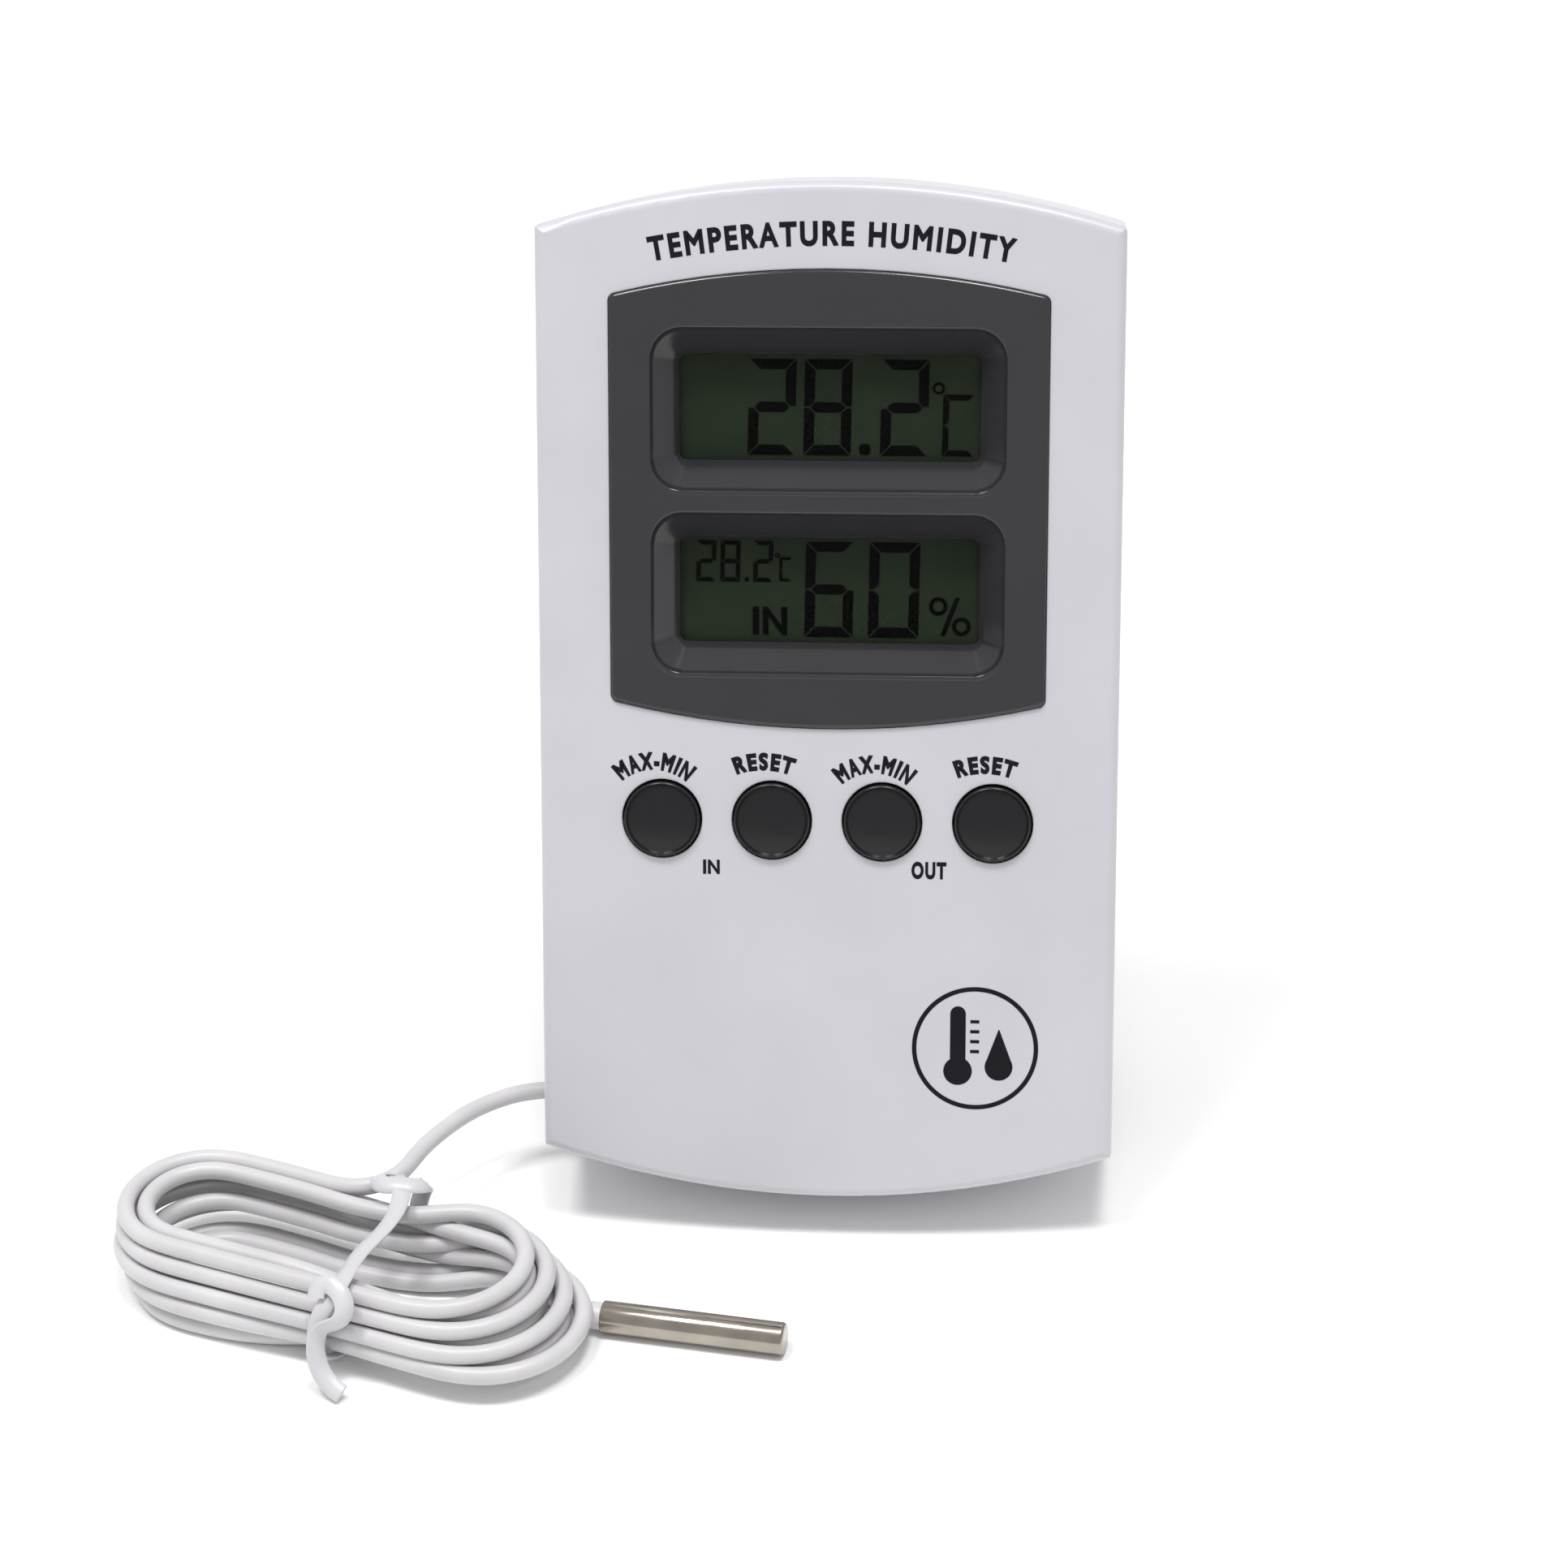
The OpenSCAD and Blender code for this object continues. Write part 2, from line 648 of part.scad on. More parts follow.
module sensor_lead() color([0.93, 0.93, 0.93]) swept_tube(lead_route, cord_d / 2, [0, 0, 1]);

// moves a shape drawn along the hank's own line to its place on the floor
module on_hank() {
    translate([hank_x, hank_y, 0]) rotate([0, 0, hank_turn]) children();
}

module cord_hank() color([0.93, 0.93, 0.93]) on_hank() linear_extrude(hank_h) {
    r = hank_w / 2;
    translate([hank_left + r, -r]) square([hank_right - hank_left - hank_w, hank_w]);
    translate([hank_left + r, 0]) circle(r);
    translate([hank_right - r, 0]) circle(r);
}

// tie over the top and both sides of the hank
module twist_tie() color([0.95, 0.95, 0.95]) on_hank() translate([tie_s, 0, 0]) difference() {
    half = hank_w / 2;
    slab(tie_w / 2, -half - tie_t, half + tie_t, 0.4, hank_h + tie_t);
    slab(tie_w, -half, half, -cut, hank_h);
}

// moves a shape drawn along +X from the probe's open end to its place on the floor
module on_probe() {
    translate([probe_x, probe_y, probe_d / 2]) rotate([0, 0, probe_turn]) children();
}

module probe_tube() color([0.6, 0.57, 0.52]) on_probe() rotate([0, 90, 0]) rotate_extrude() difference() {
    r = probe_d / 2;
    union() {
        square([r, probe_l - 0.5]);
        square([r - 0.5, probe_l]);
        translate([r - 0.5, probe_l - 0.5]) circle(0.5, $fn = 32);
    }
    translate([0, -cut]) square([r - probe_wall, probe_l - probe_wall + cut - 0.5]);
}

module probe_seal() color([0.9, 0.9, 0.9]) on_probe() translate([-1.5, 0, 0]) rotate([0, 90, 0])
    cylinder(r = probe_d / 2 - probe_wall, h = 4);

module probe_thermistor() color([0.1, 0.1, 0.1]) on_probe() {
    translate([probe_l - 3, 0, 0]) sphere(r = 1.1);
    for (y = [-0.4, 0.4])
        translate([2.5, y, 0]) rotate([0, 90, 0]) cylinder(r = 0.15, h = probe_l - 6);
}

front_case();
rear_case();
display_bezel();
upper_window_lens();
lower_window_lens();
upper_lcd();
lower_lcd();
upper_contact_strip();
lower_contact_strip();
circuit_board();
controller_chip();
timing_crystal();
supply_capacitor();
humidity_sensor();
indoor_thermistor();
button_pad();
indoor_max_min_button();
indoor_reset_button();
outdoor_max_min_button();
outdoor_reset_button();
unit_switch_body();
unit_switch_knob();
battery_cell();
battery_spring();
battery_plate();
battery_wires();
battery_door();
stand_leg();
case_screws();
board_screws();
cord_grommet();
inner_lead();
sensor_lead();
cord_hank();
twist_tie();
probe_tube();
probe_seal();
probe_thermistor();
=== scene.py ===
import json
from collections import namedtuple
from math import acos, cos, degrees, exp, pi, radians, sin, sqrt

import bmesh
import bpy
from mathutils import Matrix, Vector


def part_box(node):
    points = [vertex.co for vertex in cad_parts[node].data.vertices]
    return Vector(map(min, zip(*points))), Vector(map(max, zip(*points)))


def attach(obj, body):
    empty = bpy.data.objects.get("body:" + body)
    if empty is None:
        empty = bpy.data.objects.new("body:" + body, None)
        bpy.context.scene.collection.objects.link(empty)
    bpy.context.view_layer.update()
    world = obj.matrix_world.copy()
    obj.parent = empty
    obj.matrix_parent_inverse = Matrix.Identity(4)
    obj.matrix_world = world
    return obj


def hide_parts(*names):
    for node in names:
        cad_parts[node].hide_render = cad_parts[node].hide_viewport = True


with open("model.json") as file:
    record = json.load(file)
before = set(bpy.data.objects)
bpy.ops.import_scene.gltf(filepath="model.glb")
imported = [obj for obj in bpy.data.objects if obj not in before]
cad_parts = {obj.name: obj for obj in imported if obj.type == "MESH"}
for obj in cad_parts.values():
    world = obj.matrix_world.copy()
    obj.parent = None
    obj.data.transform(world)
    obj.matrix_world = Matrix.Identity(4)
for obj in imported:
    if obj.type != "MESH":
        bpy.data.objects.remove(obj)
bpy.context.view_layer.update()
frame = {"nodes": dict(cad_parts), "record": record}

MM = 0.001
scene = bpy.context.scene
nodes = frame["nodes"]

# ---------- the case's own directions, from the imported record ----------

hanging_hole = frame["record"]["mounts"][0]
BACK = Vector(hanging_hole["axis"]).normalized()
UP = Vector((0, -BACK.z, BACK.y))
ACROSS = Vector((1, 0, 0))
CASE_T = 20
HOLE_Z = 111.5
ORIGIN = Vector(hanging_hole["pos_m"]) - (CASE_T * BACK + HOLE_Z * UP) * MM
FACE = Matrix((ACROSS, UP, -BACK)).transposed().to_4x4()
FACE.translation = ORIGIN


def on_face(x, z, out=0.0):
    """Point in the world for a place on the case, in millimetres."""
    return FACE @ (Vector((x, z, out)) * MM)


# ---------- material helpers ----------

NOISE_LOW = 0.3
NOISE_HIGH = 0.7
BEVEL_SAMPLES = 6


class Shade:
    """A material's node tree, with short calls for the nodes that the materials share."""

    def __init__(self, name, **values):
        self.material = bpy.data.materials.new(name)
        self.material.use_nodes = True
        self.nodes = self.material.node_tree.nodes
        self.links = self.material.node_tree.links
        self.shader = self.nodes["Principled BSDF"]
        for socket, value in values.items():
            self.shader.inputs[socket.replace("_", " ")].default_value = value
        self.place = self.add("ShaderNodeTexCoord").outputs["Object"]

    def add(self, kind, **settings):
        node = self.nodes.new(kind)
        for name, value in settings.items():
            setattr(node, name, value)
        return node

    def noise(self, scale, detail=3.0, stretch=(1, 1, 1)):
        node = self.add("ShaderNodeTexNoise")
        node.inputs["Scale"].default_value = scale
        node.inputs["Detail"].default_value = detail
        if stretch != (1, 1, 1):
            mapping = self.add("ShaderNodeMapping")
            mapping.inputs["Scale"].default_value = stretch
            self.links.new(self.place, mapping.inputs["Vector"])
            self.links.new(mapping.outputs["Vector"], node.inputs["Vector"])
        else:
            self.links.new(self.place, node.inputs["Vector"])
        return node.outputs["Fac"]

    def ramp(self, factor, low, high):
        node = self.add("ShaderNodeValToRGB")
        node.color_ramp.elements[0].position = NOISE_LOW
        node.color_ramp.elements[1].position = NOISE_HIGH
        node.color_ramp.elements[0].color = (*low, 1)
        node.color_ramp.elements[1].color = (*high, 1)
        self.links.new(factor, node.inputs["Fac"])
        return node.outputs["Color"]

    def spread(self, factor, low, high):
        node = self.add("ShaderNodeMapRange")
        node.inputs["From Min"].default_value = NOISE_LOW
        node.inputs["From Max"].default_value = NOISE_HIGH
        node.inputs["To Min"].default_value = low
        node.inputs["To Max"].default_value = high
        self.links.new(factor, node.inputs["Value"])
        return node.outputs["Result"]

    def colour(self, source):
        self.links.new(source, self.shader.inputs["Base Color"])

    def rough(self, source):
        self.links.new(source, self.shader.inputs["Roughness"])

    def bump(self, height, strength, distance, soft_edge=0.0):
        node = self.add("ShaderNodeBump")
        node.inputs["Strength"].default_value = strength
        node.inputs["Distance"].default_value = distance
        self.links.new(height, node.inputs["Height"])
        if soft_edge:
            edge = self.add("ShaderNodeBevel", samples=BEVEL_SAMPLES)
            edge.inputs["Radius"].default_value = soft_edge
            self.links.new(edge.outputs["Normal"], node.inputs["Normal"])
        self.links.new(node.outputs["Normal"], self.shader.inputs["Normal"])


def tint(rgb, factor):
    return tuple(min(1.0, c * factor) for c in rgb)


def plastic(name, rgb, rough, grain=0.04, soft_edge=0.0, clouds=0.03, **values):
    """Moulded plastic: faint uneven colour, uneven gloss and a fine moulded grain."""
    s = Shade(name, **values)
    broad = s.noise(60, 4)
    s.colour(s.ramp(broad, tint(rgb, 1 - clouds), tint(rgb, 1 + clouds)))
    s.rough(s.spread(s.noise(400, 5), rough * 0.85, rough * 1.15))
    s.bump(s.noise(9000, 2), grain, 0.00004, soft_edge)
    return s.material


def metal(name, rgb, rough, stretch=(1, 1, 1)):
    """Drawn or plated metal with fine marks along the direction that stretch leaves long."""
    s = Shade(name, Metallic=1.0)
    marks = s.noise(2500, 4, stretch)
    s.colour(s.ramp(s.noise(300, 3), tint(rgb, 0.9), tint(rgb, 1.08)))
    s.rough(s.spread(marks, rough * 0.7, rough * 1.3))
    s.bump(marks, 0.05, 0.00003)
    return s.material


def cord_vinyl():
    """Soft vinyl jacket that lets a little light in."""
    s = Shade("white_cord_vinyl", Subsurface_Weight=0.08, Subsurface_Scale=0.0006,
              Subsurface_Radius=(1, 0.8, 0.7))
    s.colour(s.ramp(s.noise(120, 4), (0.53, 0.52, 0.53), (0.60, 0.59, 0.60)))
    s.rough(s.spread(s.noise(900, 5), 0.32, 0.46))
    s.bump(s.noise(1400, 4), 0.12, 0.0001)
    return s.material


def lcd_glass():
    """Polariser film over the liquid crystal cell: dark olive with a faint mottle."""
    s = Shade("olive_lcd_glass", Specular_IOR_Level=0.04)
    s.colour(s.ramp(s.noise(150, 5), (0.0165, 0.0245, 0.0145), (0.0215, 0.0300, 0.0180)))
    s.rough(s.spread(s.noise(900, 3), 0.32, 0.4))
    return s.material


def window_pane():
    """Clear sheet that keeps a faint veil and its reflections."""
    s = Shade("clear_window_acrylic", IOR=1.49, Alpha=0.035)
    s.colour(s.ramp(s.noise(90, 2), (0.006, 0.008, 0.007), (0.009, 0.011, 0.010)))
    s.rough(s.spread(s.noise(500, 2), 0.03, 0.06))
    return s.material


WHITE = (0.522, 0.513, 0.549)
GREY = (0.0245, 0.0245, 0.028)

materials = {
    "case": plastic("white_case_plastic", WHITE, 0.33, soft_edge=0.00025, Coat_Weight=0.12),
    "bezel": plastic("grey_bezel_plastic", GREY, 0.12, grain=0.02, clouds=0.08),
    "button": plastic("grey_button_plastic", (0.008, 0.008, 0.0095), 0.24, grain=0.02, clouds=0.08,
                      Specular_IOR_Level=0.33),
    "ink": plastic("black_print_ink", (0.006, 0.005, 0.009), 0.5, grain=0.02, clouds=0.2,
                   Specular_IOR_Level=0.15),
    "segment": plastic("dark_display_segment", (0.0009, 0.0011, 0.0009), 0.4, grain=0, clouds=0.2,
                       Specular_IOR_Level=0.03),
    "lcd": lcd_glass(),
    "pane": window_pane(),
    "cord": cord_vinyl(),
    "tie": plastic("white_tie_vinyl", (0.57, 0.56, 0.585), 0.34, grain=0.15),
    "probe": metal("polished_stainless", (0.37, 0.335, 0.29), 0.17, (0.15, 1, 1)),
    "steel": metal("nickel_plated_steel", (0.6, 0.59, 0.56), 0.28),
    "rubber": plastic("black_contact_rubber", (0.02, 0.02, 0.022), 0.7, grain=0.3),
    "silicone": plastic("grey_silicone", (0.25, 0.25, 0.26), 0.6, grain=0.2),
    "board": plastic("green_solder_mask", (0.02, 0.11, 0.04), 0.4, grain=0.3, clouds=0.15),
    "epoxy": plastic("black_epoxy", (0.012, 0.012, 0.012), 0.25, grain=0.2),
    "sleeve": plastic("blue_sleeve", (0.03, 0.05, 0.2), 0.35),
    "sensor": plastic("white_sensor_housing", (0.7, 0.7, 0.72), 0.5),
    "jacket": plastic("green_battery_jacket", (0.05, 0.14, 0.07), 0.3, clouds=0.1),
    "wire": plastic("red_wire_insulation", (0.35, 0.02, 0.02), 0.4),
    "black": plastic("black_moulded_plastic", (0.02, 0.02, 0.022), 0.45, soft_edge=0.00015),
}

CARRIED_OVER = {
    "case": ["front_case", "rear_case", "battery_door", "stand_leg"],
    "steel": ["timing_crystal", "battery_spring", "battery_plate", "case_screws", "board_screws"],
    "rubber": ["upper_contact_strip", "lower_contact_strip"],
    "silicone": ["button_pad"],
    "board": ["circuit_board"],
    "epoxy": ["controller_chip", "indoor_thermistor", "probe_thermistor"],
    "sleeve": ["supply_capacitor"],
    "sensor": ["humidity_sensor"],
    "jacket": ["battery_cell"],
    "wire": ["battery_wires"],
    "black": ["unit_switch_body", "unit_switch_knob"],
    "cord": ["cord_grommet", "inner_lead", "probe_seal"],
}
for key, names in CARRIED_OVER.items():
    for name in names:
        nodes[name].data.materials.clear()
        nodes[name].data.materials.append(materials[key])

# ---------- mesh helpers ----------


def new_object(name, vertices, faces, material):
    mesh = bpy.data.meshes.new(name)
    mesh.from_pydata([tuple(v) for v in vertices], [], faces)
    mesh.validate()
    for polygon in mesh.polygons:
        polygon.use_smooth = True
    mesh.materials.append(material)
    obj = bpy.data.objects.new(name, mesh)
    scene.collection.objects.link(obj)
    return obj


def tidy_normals(obj, angle):
    """Points all faces outwards and keeps edges sharper than the angle crisp."""
    bm = bmesh.new()
    bm.from_mesh(obj.data)
    bmesh.ops.recalc_face_normals(bm, faces=bm.faces)
    for edge in bm.edges:
        if len(edge.link_faces) == 2 and edge.calc_face_angle(0) > radians(angle):
            edge.smooth = False
    bm.to_mesh(obj.data)
    bm.free()
    return obj


def joined(name, parts, material):
    """One mesh object from (vertices, faces) parts."""
    vertices, faces = [], []
    for part_vertices, part_faces in parts:
        offset = len(vertices)
        vertices += part_vertices
        faces += [tuple(i + offset for i in face) for face in part_faces]
    return new_object(name, vertices, faces, material)


def b_spline(points, per_span=4):
    """Smooth curve through the neighbourhood of given points; it starts and ends on them."""
    p = [Vector(v) for v in points]
    p = [2 * p[0] - p[1]] + p + [2 * p[-1] - p[-2]]
    out = []
    for i in range(len(p) - 3):
        steps = per_span + (1 if i == len(p) - 4 else 0)
        for k in range(steps):
            f = k / per_span
            weights = (
                (1 - f) ** 3 / 6,
                (3 * f**3 - 6 * f**2 + 4) / 6,
                (-3 * f**3 + 3 * f**2 + 3 * f + 1) / 6,
                f**3 / 6,
            )
            out.append(sum((w * q for w, q in zip(weights, p[i : i + 4])), Vector()))
    return out


def frames_along(points, first_normal, core=None):
    """Tangent and normal at each point of a path: turning as little as possible, or, for a
    strip wound round a core, across the strip with its broad side towards that core."""
    tangents = []
    for i in range(len(points)):
        tangents.append((points[min(i + 1, len(points) - 1)] - points[max(i - 1, 0)]).normalized())
    normal = Vector(first_normal)
    result = []
    for point, tangent in zip(points, tangents):
        if core:
            normal = tangent.cross(point - core)
        normal = (normal - normal.dot(tangent) * tangent).normalized()
        result.append((tangent, normal))
    return result


def sweep(points, section, first_normal, twist=None, core=None):
    """Vertices and faces of a closed section (list of (a, b) offsets) moved along a path."""
    sides = len(section)
    vertices, faces = [], []
    frames = frames_along(points, first_normal, core)
    for i, (point, (tangent, normal)) in enumerate(zip(points, frames)):
        if twist:
            normal = Matrix.Rotation(twist(i / (len(points) - 1)), 3, tangent) @ normal
        other = tangent.cross(normal)
        vertices += [point + a * normal + b * other for a, b in section]
    for i in range(len(points) - 1):
        for k in range(sides):
            n = (k + 1) % sides
            faces.append((i * sides + k, i * sides + n, (i + 1) * sides + n, (i + 1) * sides + k))
    faces.append(tuple(range(sides - 1, -1, -1)))
    last = (len(points) - 1) * sides
    faces.append(tuple(last + k for k in range(sides)))
    return vertices, faces


def round_section(radius, sides):
    return [(radius * cos(2 * pi * k / sides), radius * sin(2 * pi * k / sides)) for k in range(sides)]


def lathe(profile, origin, axis, sides):
    """Vertices and faces of a profile [(radius, along)] turned about an axis."""
    axis = Vector(axis).normalized()
    side = axis.cross(Vector((0, 0, 1))).normalized()
    other = axis.cross(side)
    vertices, faces, rings = [], [], []
    for radius, along in profile:
        start = len(vertices)
        if radius < 1e-9:
            vertices.append(origin + axis * along)
            rings.append([start])
            continue
        for k in range(sides):
            angle = 2 * pi * k / sides
            vertices.append(origin + axis * along + radius * (cos(angle) * side + sin(angle) * other))
        rings.append(list(range(start, start + sides)))
    for low, high in zip(rings, rings[1:]):
        for k in range(sides):
            n = (k + 1) % sides
            if len(low) == 1:
                faces.append((low[0], high[n], high[k]))
            elif len(high) == 1:
                faces.append((low[k], low[n], high[0]))
            else:
                faces.append((low[k], low[n], high[n], high[k]))
    return vertices, faces


def arc(centre, radius, start, end, steps):
    """Points (a, b) on an arc, angles in degrees."""
    points = []
    for i in range(steps + 1):
        angle = radians(start + (end - start) * i / steps)
        points.append((centre[0] + radius * cos(angle), centre[1] + radius * sin(angle)))
    return points


# ---------- camera ----------

CAMERA_AIM = Vector((-5.95, -4.49, 50.54)) * MM
CAMERA_DISTANCE = 0.457
CAMERA_LENS = 85
CAMERA_DOWN = radians(29.9)
CAMERA_SWING = radians(5.232)
CAMERA_ROLL = radians(-1.696)


def add_camera():
    down, swing, roll = CAMERA_DOWN, CAMERA_SWING, CAMERA_ROLL
    forward = Vector((-sin(swing) * cos(down), cos(swing) * cos(down), -sin(down)))
    level = Vector((cos(swing), sin(swing), 0))
    upright = level.cross(forward)
    right = level * cos(roll) + upright * sin(roll)
    up = -level * sin(roll) + upright * cos(roll)
    data = bpy.data.cameras.new("camera")
    data.lens = CAMERA_LENS
    data.sensor_width = 36
    data.clip_start = 0.01
    camera = bpy.data.objects.new("camera", data)
    camera.matrix_world = Matrix((right, up, -forward)).transposed().to_4x4()
    camera.location = CAMERA_AIM - CAMERA_DISTANCE * forward
    scene.collection.objects.link(camera)
    scene.camera = camera


add_camera()

# ---------- sensor cord ----------

CORD_D = 2.2 * MM
LEAD_ROUTE = [
    (-35, -13.4, 10.1), (-36.8, -13.4, 10.1), (-38.6, -13.8, 10.1), (-40.4, -14.6, 10.2),
    (-42.2, -15.8, 10.3), (-43.9, -17.3, 10.4), (-45.4, -19.1, 10.6), (-46.8, -21.2, 10.8),
    (-48.2, -23.8, 11), (-49.5, -26.6, 11.2), (-50.6, -29.4, 11.3), (-51.5, -32.6, 11.2),
]
PROBE_TURN = radians(-8.7)
PROBE_AXIS = Vector((cos(PROBE_TURN), sin(PROBE_TURN), 0))
PROBE_R = 2 * MM
PROBE_L = 22.5 * MM

HANK_TURN = radians(-19)
HANK_ALONG = Vector((cos(HANK_TURN), sin(HANK_TURN), 0))
hank_low, hank_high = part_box("cord_hank")
hank_frame = Matrix.Rotation(HANK_TURN, 4, "Z")
hank_frame.translation = Vector(((hank_low.x + hank_high.x) / 2, (hank_low.y + hank_high.y) / 2, 0))

# in the hank's own frame, millimetres: s runs along it, t across it to the back, z up
ENTRY_ROUTE = [(-0.6, 12.7, 10.9), (-2.4, 10.95, 10.6), (-5.1, 10.15, 10.2)]
TAIL_ROUTE = [
    (-6, -5.6, 1.2), (0, -5.0, 1.2), (6, -3.2, 1.2), (11, -0.6, 1.2), (16, 2.5, 1.25), (21, 5.3, 1.5),
]

# one turn of the hank: how far its left and right ends reach along s, the lines of its front and
# back runs in t, its height at the left and right, and how much the tie pulls its front run in
Turn = namedtuple("Turn", "left right front back z_left z_right waist")
TURNS = [
    Turn(-30.4, 22.3, -7.9, 10.6, 9.9, 9.9, 0.0),
    Turn(-27.9, 22.6, -5.6, 8.4, 9.6, 7.7, 0.0),
    Turn(-30.6, 25.0, -8.9, 11.2, 7.8, 7.9, 0.0),
    Turn(-30.7, 27.4, -10.1, 11.2, 5.7, 5.8, 0.3),
    Turn(-27.2, 24.6, -7.5, 8.0, 5.6, 5.6, 0.0),
    Turn(-29.3, 30.0, -10.7, 11.0, 3.5, 3.8, 0.9),
    Turn(-27.3, 27.5, -10.5, 8.3, 1.25, 3.5, 2.8),
    Turn(-25.0, 20.0, -7.0, 6.2, 1.2, 1.2, 0.6),
]
TIE_S = 1.0
TIE_REACH = 8
BACK_PULL = 1.0
BACK_START = -3.5
RIGHT_FLARE = 1.3
BACK_STEPS = 4
FRONT_STEPS = 8
BEND_STEP = 22.5
BEND_POINTS = 9
RISE_START = -6
RISE_LENGTH = 20
RISE_SHIFT = 1.1
SINK_SPEED = 1.6


def on_hank(s, t, z):
    return hank_frame @ (Vector((s, t, z)) * MM)


def near_tie(s):
    """1 under the tie, falling smoothly to 0 away from it."""
    return exp(-(((s - TIE_S) / TIE_REACH) ** 2))


def smooth(value):
    value = min(1.0, max(0.0, value))
    return value * value * (3 - 2 * value)


def bend(s, t, radius, start, z):
    """Control points of half a circle, anticlockwise from a start angle in degrees."""
    angles = [radians(start + BEND_STEP * i) for i in range(BEND_POINTS)]
    return [(s + radius * cos(angle), t + radius * sin(angle), z) for angle in angles]


def hank_turn_points(turn, following):
    """Control points of one turn, anticlockwise from the middle of the back run."""
    climb = turn.z_right - turn.z_left
    front_right = turn.front + RISE_SHIFT * max(0.0, climb)
    back_right = turn.back + RIGHT_FLARE
    r_left = (turn.back - turn.front) / 2
    r_right = (back_right - front_right) / 2
    s_left = turn.left + r_left
    s_right = turn.right - r_right
    points = []
    for i in range(BACK_STEPS):
        s = BACK_START + (s_left - BACK_START) * i / BACK_STEPS
        points.append((s, turn.back - BACK_PULL * near_tie(s), turn.z_left))
    points += bend(s_left, (turn.back + turn.front) / 2, r_left, 90, turn.z_left)
    for i in range(1, FRONT_STEPS):
        s = s_left + (s_right - s_left) * i / FRONT_STEPS
        rise = smooth((s - RISE_START) / RISE_LENGTH)
        t = turn.front + (front_right - turn.front) * rise + turn.waist * near_tie(s)
        points.append((s, t, turn.z_left + climb * rise))
    points += bend(s_right, (back_right + front_right) / 2, r_right, -90, turn.z_right)
    if following:
        for i in range(1, BACK_STEPS):
            f = i / BACK_STEPS
            s = s_right * (1 - f)
            t = back_right + (following.back - back_right) * smooth(f)
            z = turn.z_right + (following.z_left - turn.z_right) * smooth(SINK_SPEED * f)
            points.append((s, t - BACK_PULL * near_tie(s), z))
    return points


def probe_start():
    """Middle of the tube's open end: the tube's box and its known turn give it."""
    low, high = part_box("probe_tube")
    x = low.x + PROBE_R * abs(sin(PROBE_TURN))
    y = high.y - PROBE_R * cos(PROBE_TURN)
    return Vector((x, y, PROBE_R))


def cord_path():
    """Lead, hank and the last run under the right-hand loops out to the probe."""
    in_hank = list(ENTRY_ROUTE)
    for turn, following in zip(TURNS, TURNS[1:]):
        turn_points = hank_turn_points(turn, following)
        # the lead joins the first turn, so it takes the place of that turn's first point
        in_hank += turn_points[1:] if turn is TURNS[0] else turn_points
    last_turn_used = BACK_STEPS + BEND_POINTS + 2
    in_hank += hank_turn_points(TURNS[-1], None)[:last_turn_used] + TAIL_ROUTE
    points = [Vector(p) * MM for p in LEAD_ROUTE] + [on_hank(*p) for p in in_hank]
    points += [probe_start() + along * MM * PROBE_AXIS for along in (-4.5, -2, 0, 1.5)]
    return b_spline(points)


def make_cord():
    path = cord_path()
    vertices, faces = sweep(path, round_section(CORD_D / 2, 16), (0, 0, 1))
    cord = joined("sensor_cord", [(vertices, faces)], materials["cord"])
    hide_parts("sensor_lead", "cord_hank")
    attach(cord, "case")
    return cord, path


def make_probe():
    """Closed steel tube with a rolled rim at the cord end and a rounded far end."""
    r, wall, round_r = PROBE_R, 0.3 * MM, 0.45 * MM
    rim = ((0.05, 0.03), (0.15, 0), (0.25, 0.05))
    profile = [(r - wall, 3 * MM), (r - wall, 0.15 * MM)]
    profile += [(r - wall + a * MM, b * MM) for a, b in rim]
    profile += [(r, 0.2 * MM), (r, PROBE_L * 0.5), (r, PROBE_L - round_r)]
    profile += arc((r - round_r, PROBE_L - round_r), round_r, 0, 90, 8)[1:]
    profile += [(r * 0.4, PROBE_L), (0, PROBE_L)]
    probe = joined("probe_sleeve", [lathe(profile, probe_start(), PROBE_AXIS, 80)], materials["probe"])
    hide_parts("probe_tube")
    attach(probe, "case")
    return tidy_normals(probe, 50)


TIE_W = 2.3
TIE_T = 0.5


def strip_section(width, thickness):
    """Flat strip with rounded edges and a raised rib over its wire."""
    w, t, rib = width / 2 * MM, thickness / 2 * MM, 0.1 * MM
    upper = [(-w, 0), (-w * 0.85, t), (-w * 0.3, t), (0, t + rib), (w * 0.3, t), (w * 0.85, t)]
    return upper + [(-a, -b) for a, b in upper]


TIE_OVER = [
    (1.2, 11.0, 12.9), (2.6, 9.8, 13.1), (3.6, 8.0, 12.7), (4.3, 5.0, 12.2), (4.1, 1.5, 11.7),
    (3.4, -2.0, 11.5), (3.9, -5.4, 11.7), (4.4, -8.2, 11.9), (4.2, -10.2, 11.2), (3.2, -11.9, 9.4),
    (2.5, -12.4, 7), (2.1, -12.4, 4.5), (2.2, -11.6, 2.2), (2.8, -10.0, 1.15), (3.4, -8.0, 0.75),
]
TIE_BOW = [
    (1.4, 11.6, 12.2), (-0.6, 10.9, 13.0), (-0.9, 9.3, 13.1), (0.9, 8.6, 13.0), (3.0, 9.4, 13.4),
    (4.8, 10.3, 12.9), (4.9, 12.0, 12.2), (3.8, 13.2, 10.8), (2.7, 13.4, 8.4), (2.1, 13.1, 5),
    (2.2, 12.4, 1.5),
]
